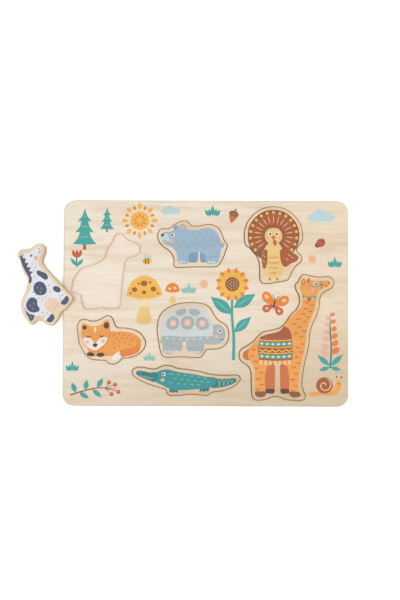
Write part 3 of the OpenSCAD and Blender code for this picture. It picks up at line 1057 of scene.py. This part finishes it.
def sunflower():
    """A sunflower on a tall stem, from the middle of its flower."""
    stem = [(0, -10), (-0.2, -34), (1.6, -56), (1.4, -80)]
    leaves = [
        leaf((0.6, -32), (-23, -13), 12), leaf((1, -25), (24.6, -10), 11.6), leaf((1.6, -51), (20, -34), 9.8),
    ]
    veins = [
        leaf((-2, -30), (-19, -16.2), 1.1), leaf((3.4, -23.4), (21, -12.2), 1.1),
        leaf((3.6, -49), (16.8, -37), 1),
    ]
    seeds = ring(0, 0, 5, 0, 327, 11) + ring(0, 0, 2.2, 0, 300, 6)
    return [
        (1, "teal", [brush(stem, [2.4, 2.6, 3, 3.4])] + leaves),
        (2, "mint", veins),
        (2, "orange", petals(0, 0, 5, 18.4, 12, 6.6, start=105)),
        (3, "amber", petals(0, 0, 4.5, 16.8, 12, 5.8)),
        (4, "chestnut", [oval(0, 0, 7.4)]),
        (5, "straw", dots(seeds, 0.6)),
    ]


def butterfly():
    upper = [(0.6, 1.5), (4.4, 8.4), (11, 11.4), (14.4, 8), (12.6, 2.4), (6, -0.6)]
    lower = [(0.6, -1), (6, -1.6), (10.8, -4.2), (9.8, -9.2), (5.4, -9.8), (2, -5.4)]
    marks = [oval(9.4, 6.4, 2.6, 2, 35), oval(6.6, -5.8, 1.7, 1.4, -30)]
    body = brush([(0, -6.6), (0, 0), (0, 5)], [0, 1.9, 1.2])
    antenna = brush([(0.3, 4.6), (1.6, 7.6), (3.8, 9.2)], [0.5, 0.6, 0.8])
    return [
        (1, "orange", [upper, mirrored(upper)]),
        (1, "brick", [lower, mirrored(lower)]),
        (2, "straw", marks + [mirrored(mark) for mark in marks]),
        (3, "bark", [body, antenna, mirrored(antenna)]),
    ]


def snail():
    """A snail creeping to the right, from the middle of its shell."""
    foot = [
        (-16.4, -9.2), (-11, -7), (-2, -6), (8, -5.6), (10.6, -1.6), (12, 3), (15, 4.6), (17.6, 2.4),
        (17, -3), (15, -7.6), (11.4, -9.6), (-2, -10),
    ]
    # The coil widens by this much for each degree
    widening = 0.0155
    coil = []
    for turned in range(0, 441, 40):
        r, a = 1 + widening * turned, radians(turned)
        coil.append((r * cos(a), r * sin(a)))
    stalks = [brush([(13.4, 4), (12.8, 8.8)], 0.8), brush([(16, 4), (17.8, 8.2)], 0.8)]
    return [
        (1, "apricot", [foot] + stalks),
        (2, "rust", [oval(0, 0, 8.8, 8.4)]),
        (2, "bark", dots([(12.7, 9.2), (18, 8.7), (15.2, 1.6)], 0.8)),
        (3, "straw", [brush(coil, [1.1] * (len(coil) - 1) + [0])]),
    ]


def lupin():
    """A lupin in flower, from its foot."""
    left, right = [], []
    for k in range(6):
        rx, ry = 4.6 - 0.45 * k, 3.1 - 0.25 * k
        left.append(oval(-5.6 + 0.6 * k, 15 + 7.6 * k, rx, ry, -35))
        right.append(oval(5.8 - 0.6 * k, 18.6 + 7.6 * k, rx, ry, 35))
    leaves = [
        leaf((0, 2), (-13.6, 14), 5.6), leaf((0, 2), (13.6, 14.6), 5.6), leaf((0, 1), (-12, -2.4), 4.6),
        leaf((0, 1), (12, -2), 4.6),
    ]
    return [
        (1, "deep_teal", [brush([(0, 0), (1.2, 20), (0, 40), (0.4, 62)], [1.8, 1.6, 1.4, 0])]),
        (2, "teal", leaves),
        (2, "blush", left),
        (2, "orange", right),
    ]


def berry_twig():
    """A leafy twig with berries at its end, from its left end."""
    line = [(0, 0), (14, 4.4), (30, 7.6), (48, 6.4)]
    leaves = [
        leaf((6, 2.4), (1.6, 13.4), 5.4), leaf((16, 5), (17.4, 16.4), 5.4), leaf((28, 7.4), (34.4, 18), 5.4),
        leaf((9, 3.2), (20, -3.6), 5), leaf((23, 6.2), (33.4, -2.6), 5),
    ]
    berries = [(40.6, 13.4), (47, 11), (50.6, 3.6), (43.4, 1)]
    stalks = [brush([(36.4, 7.2), berry], 0.7) for berry in berries]
    return [
        (1, "rust", [brush(line, [1.8, 1.5, 1.2, 0.6])] + stalks),
        (2, "teal", leaves),
        (2, "brick", dots(berries, 2.2)),
        (3, "straw", dots([(x - 0.6, y + 0.7) for x, y in berries], 0.5)),
    ]


def tulip():
    """A tulip from its foot."""
    cup = [
        (-4, 17.6), (-4.6, 12.4), (0, 9.6), (4.6, 12.4), (4, 17.6), corner(2, 14.6), corner(0, 18.4),
        corner(-2, 14.6),
    ]
    return [
        (1, "deep_teal", [brush([(0, 0), (-0.3, 6), (0, 11)], 1.3)]),
        (2, "teal", [leaf((0, 0.6), (-7, 9.4), 3.8), leaf((0, 0.6), (7, 8.6), 3.8)]),
        (2, "brick", [cup]),
    ]


def bee():
    stripes = [brush([(x, 2.9), (x + 0.4, -2.8)], 1.1) for x in (-1.8, 1)]
    return [
        (1, "ice", [oval(-1, 4, 2, 3.4, 25), oval(2.6, 3.8, 1.9, 3.1, -15)]),
        (2, "amber", [oval(0, 0, 5, 3.2, 8)]),
        (3, "bark", stripes + [oval(-3.8, 0.2, 0.5)]),
    ]


def ladybird():
    spots = [(-2.6, 1.9), (-2.6, -1.9), (0.9, 2.6), (0.9, -2.6), (3.2, 1.2), (3.2, -1.2)]
    return [
        (1, "bark", [oval(-4.4, 0, 2.2, 2.6)]),
        (2, "brick", [oval(0.2, 0, 5, 4.3)]),
        (3, "bark", [brush([(-4.4, 0), (5, 0)], 0.5)] + dots(spots, 0.75)),
    ]


def acorn():
    nut = [(-3.8, 0.6), (-3.5, -3.6), (-1.7, -6.6), corner(0, -8.8), (1.7, -6.6), (3.5, -3.6), (3.8, 0.6)]
    cup = [(-4.8, 0.2), (-4.4, 3), (-1.8, 4.6), (1.8, 4.6), (4.4, 3), (4.8, 0.2), (0, -0.9)]
    return [
        (1, "burnt_orange", [nut]),
        (1, "bark", [brush([(0, 4), (0.5, 7.4)], [1, 1.4])]),
        (2, "chestnut", [cup]),
        (3, "straw", dots([(-2.2, 1.6), (0, 2.6), (2.2, 1.6), (0, 0.6)], 0.4)),
    ]


def daisy():
    return [(1, "blush", petals(0, 0, 1, 5, 8, 2.8)), (2, "amber", [oval(0, 0, 1.6)])]


def grass(ink, height, width):
    """A tuft of grass from the middle of its foot. Its blades fan out, the middle one tallest."""
    blades = []
    count = 5
    for k in range(count):
        side = 2 * k / (count - 1) - 1
        tall = height * (1 - 0.42 * abs(side) - 0.14 * (k % 2))
        blades.append(leaf((side * width * 0.24, 0), (side * width * 0.5, tall), width / count * 1.15, 0.36))
    return [(1, ink, blades)]


def board_picture():
    """A woodland meadow round the cut-outs."""
    cap_spots = [
        (0, 12.6, 3.5, 2.9), (-10, 6, 2.8, 2.6), (9.8, 6.8, 2.9, 2.6), (0, 3.2, 2.3, 1.8), (-5.6, 12.2, 1.2),
        (6.4, 13.6, 1.2), (-14.2, 2.2, 1.2, 1), (14.8, 2.2, 1.2, 1),
    ]
    small_cap_spots = [(-7, 6, 3.2, 2.8), (6, 8, 3.4, 3)]
    # Each motif with its place, and with its size and its turn in degrees where they aren't 1 and 0
    motifs = [
        (fir(25, 38), -128, 62),
        (fir(15, 23), -104.5, 78),
        (sun(), -70, 87),
        (cloud(), -37, 97.6, 0.95),
        (cloud(), 122, 92, 1.3),
        (tulip(), -136, 38),
        (bee(), -62, 44),
        (toadstool("amber", "rust", cap_spots), -65, 8),
        (toadstool("orange", "cream", small_cap_spots), -35, 12.6, 0.42),
        (sunflower(), 28, 20),
        (butterfly(), 72, -1, 1, -12),
        (snail(), 125, -86),
        (lupin(), 131, -68),
        (berry_twig(), -142, -97),
        (ladybird(), 121, 64, 1, 35),
        (acorn(), 29, 93, 1, -18),
        (daisy(), 112, 47),
        (daisy(), -2, 20),
        (grass("teal", 12, 16), 7, 92),
        (grass("teal", 12, 15), 136, 38),
        (grass("teal", 11, 14), -140, -72),
        (grass("mint", 12, 16), -18, 10),
        (grass("mint", 10, 13), -59, -61),
    ]
    levels = {}
    for motif, *place in motifs:
        for level, ink, outlines in motif:
            placed = [moved(outline, *place) for outline in outlines]
            levels.setdefault(level, []).append((ink, placed))
    return [levels[level] for level in sorted(levels)]


# Every seated piece is named after its animal, as its body is

SEATED = {
    "bear": bear_picture,
    "turkey": turkey_picture,
    "fox": fox_picture,
    "tortoise": tortoise_picture,
    "platypus": platypus_picture,
    "llama": llama_picture,
}


def top_normal(node):
    """The direction that a node's largest upward face looks."""
    upward = [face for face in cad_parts[node].data.polygons if face.normal.z > FLAT_SHARE]
    return Vector(max(upward, key=lambda face: face.area).normal)


def pony_lay():
    """The pony's lean, the height of its underside once it lies flat, and the matrix that takes a
    drawing from the middle of its top to the scene."""
    normal = top_normal("pony_piece")
    lean = atan2(-normal.x, normal.z)
    to_flat = Matrix.Rotation(-LOOSE_TURN, 4, "Z") @ Matrix.Rotation(lean, 4, "Y")
    flat = [to_flat @ v.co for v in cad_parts["pony_piece"].data.vertices]
    low = Vector([min(p[k] for p in flat) for k in range(3)])
    high = Vector([max(p[k] for p in flat) for k in range(3)])
    middle = Vector(((low.x + high.x) / 2, (low.y + high.y) / 2, high.z))
    return lean, low.z, to_flat.inverted() @ Matrix.Translation(middle)


def top_middle(node):
    low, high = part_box(node)
    return Matrix.Translation(((low.x + high.x) / 2, (low.y + high.y) / 2, high.z))


def make_puzzle():
    lean, pony_bottom, pony_place = pony_lay()
    level = lying(0)
    seated = lying(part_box("bear_piece")[0].z)
    leaning = lying(pony_bottom, (0, lean, -LOOSE_TURN))

    make_boards(level)
    up = Vector((0, 0, 1))
    piece_face = birch_face("birch_face_piece", level, PIECE_VENEER)
    piece_wall = birch_edge("birch_piece_wall", seated, PIECE_PLY, ROUTED_EDGE)
    for animal in SEATED:
        make_piece(animal + "_piece", animal, up, piece_face, piece_wall)
    pony_face = birch_face("birch_face_pony", leaning, PIECE_VENEER)
    pony_wall = birch_edge("birch_pony_wall", leaning, PIECE_PLY, ROUTED_EDGE)
    make_piece("pony_piece", "pony", top_normal("pony_piece"), pony_face, pony_wall)

    for animal, picture in SEATED.items():
        print_picture(animal + "_piece", picture(), top_middle(animal + "_piece"), animal, "ink_", level)
    print_picture("pony_piece", pony_picture(), pony_place, "pony", "ink_pony_", leaning)
    print_picture("frame_board", board_picture(), top_middle("frame_board"), "board", "ink_", level)


# Table, light and camera

# The room's own light, as a share of white
ROOM_LIGHT = 0.5
# Each soft light: name, the way it comes from, and its strength. With the room they light a level
# surface so that a colour renders about as it is written.
LIGHTS = (
    ("left_softbox", (-0.42, -0.16, 1.3), 0.66),
    ("right_softbox", (0.46, -0.12, 1.25), 0.93),
)
# As wide as a softbox half a metre across looks from the table
SOFTBOX_ANGLE = radians(24)
SOFTBOX_TINT = (1.0, 0.99, 0.975)

TABLE_SIZE = 6.0
# The table stops this far under the board, so that no two faces coincide
TABLE_GAP = 0.1 * MM
# What the table adds where the camera sees it, so that it photographs white and keeps its shadows
TABLE_GLOW = 0.4

# The camera looks at this point of the board's face, in millimetres, from this far
SIGHT_X, SIGHT_Y = -5.9, 3.3
CAMERA_DISTANCE = 1.1
# How far it looks down from level, and how far it is rolled, in degrees
CAMERA_ELEVATION = 88
CAMERA_ROLL = 0.2
# Height of the board's plane that the photograph's frame takes in
FRAME_HEIGHT = 0.632


def looked_at(tree):
    """A socket that is 1 where the camera sees the surface, also in a reflection or through glass."""
    seen = add(tree, "LightPath").outputs
    either = {"operation": "MAXIMUM"}
    looks = add(tree, "Math", either, _0=seen["Is Camera Ray"], _1=seen["Is Glossy Ray"])
    return add(tree, "Math", either, _0=looks.outputs[0], _1=seen["Is Transmission Ray"]).outputs[0]


def make_table():
    """A wide table of white laminate, so matt that it shows the shadows and no reflection."""
    bpy.ops.mesh.primitive_plane_add(size=TABLE_SIZE, location=(0, 0, -TABLE_GAP))
    table = bpy.context.object
    table.name = "table"
    material, tree, shader = new_material("white_laminate_table")
    shader.inputs["Base Color"].default_value = linear("F2F2F2")
    shader.inputs["Roughness"].default_value = 0.9
    glow = add(tree, "Emission", Color=(1, 1, 1, 1), Strength=TABLE_GLOW)
    dark = add(tree, "Emission", Color=(0, 0, 0, 1), Strength=0.0)
    choice = add(tree, "MixShader", Fac=looked_at(tree), _1=dark.outputs[0], _2=glow.outputs[0])
    lit = add(tree, "AddShader", _0=shader.outputs[0], _1=choice.outputs[0])
    tree.links.new(lit.outputs[0], tree.nodes["Material Output"].inputs["Surface"])
    table.data.materials.append(material)


def make_light():
    """A white room with two softboxes."""
    world = bpy.data.worlds.new("white_room")
    bpy.context.scene.world = world
    world.use_nodes = True
    tree = world.node_tree
    background = tree.nodes["Background"]
    background.inputs["Color"].default_value = (1, 1, 1, 1)
    white = add(tree, "MapRange", Value=looked_at(tree), To_Min=ROOM_LIGHT, To_Max=1.0)
    tree.links.new(white.outputs[0], background.inputs["Strength"])
    for name, direction, strength in LIGHTS:
        softbox = bpy.data.lights.new(name, "SUN")
        softbox.angle = SOFTBOX_ANGLE
        softbox.energy = strength
        softbox.color = SOFTBOX_TINT
        lamp = new_object(name, softbox)
        lamp.location = direction
        lamp.rotation_euler = (-lamp.location).to_track_quat("-Z", "Y").to_euler()


def make_camera():
    camera = bpy.data.cameras.new("camera")
    camera.lens = camera.sensor_width * CAMERA_DISTANCE / FRAME_HEIGHT
    holder = new_object("camera", camera)
    lean = radians(90 - CAMERA_ELEVATION)
    sight = Vector((SIGHT_X * MM, SIGHT_Y * MM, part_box("frame_board")[1].z))
    holder.location = sight + CAMERA_DISTANCE * Vector((0, -sin(lean), cos(lean)))
    holder.rotation_euler = (lean, 0, radians(CAMERA_ROLL))
    bpy.context.scene.camera = holder


make_puzzle()
make_table()
make_light()
make_camera()
bpy.context.scene.view_settings.view_transform = "Standard"
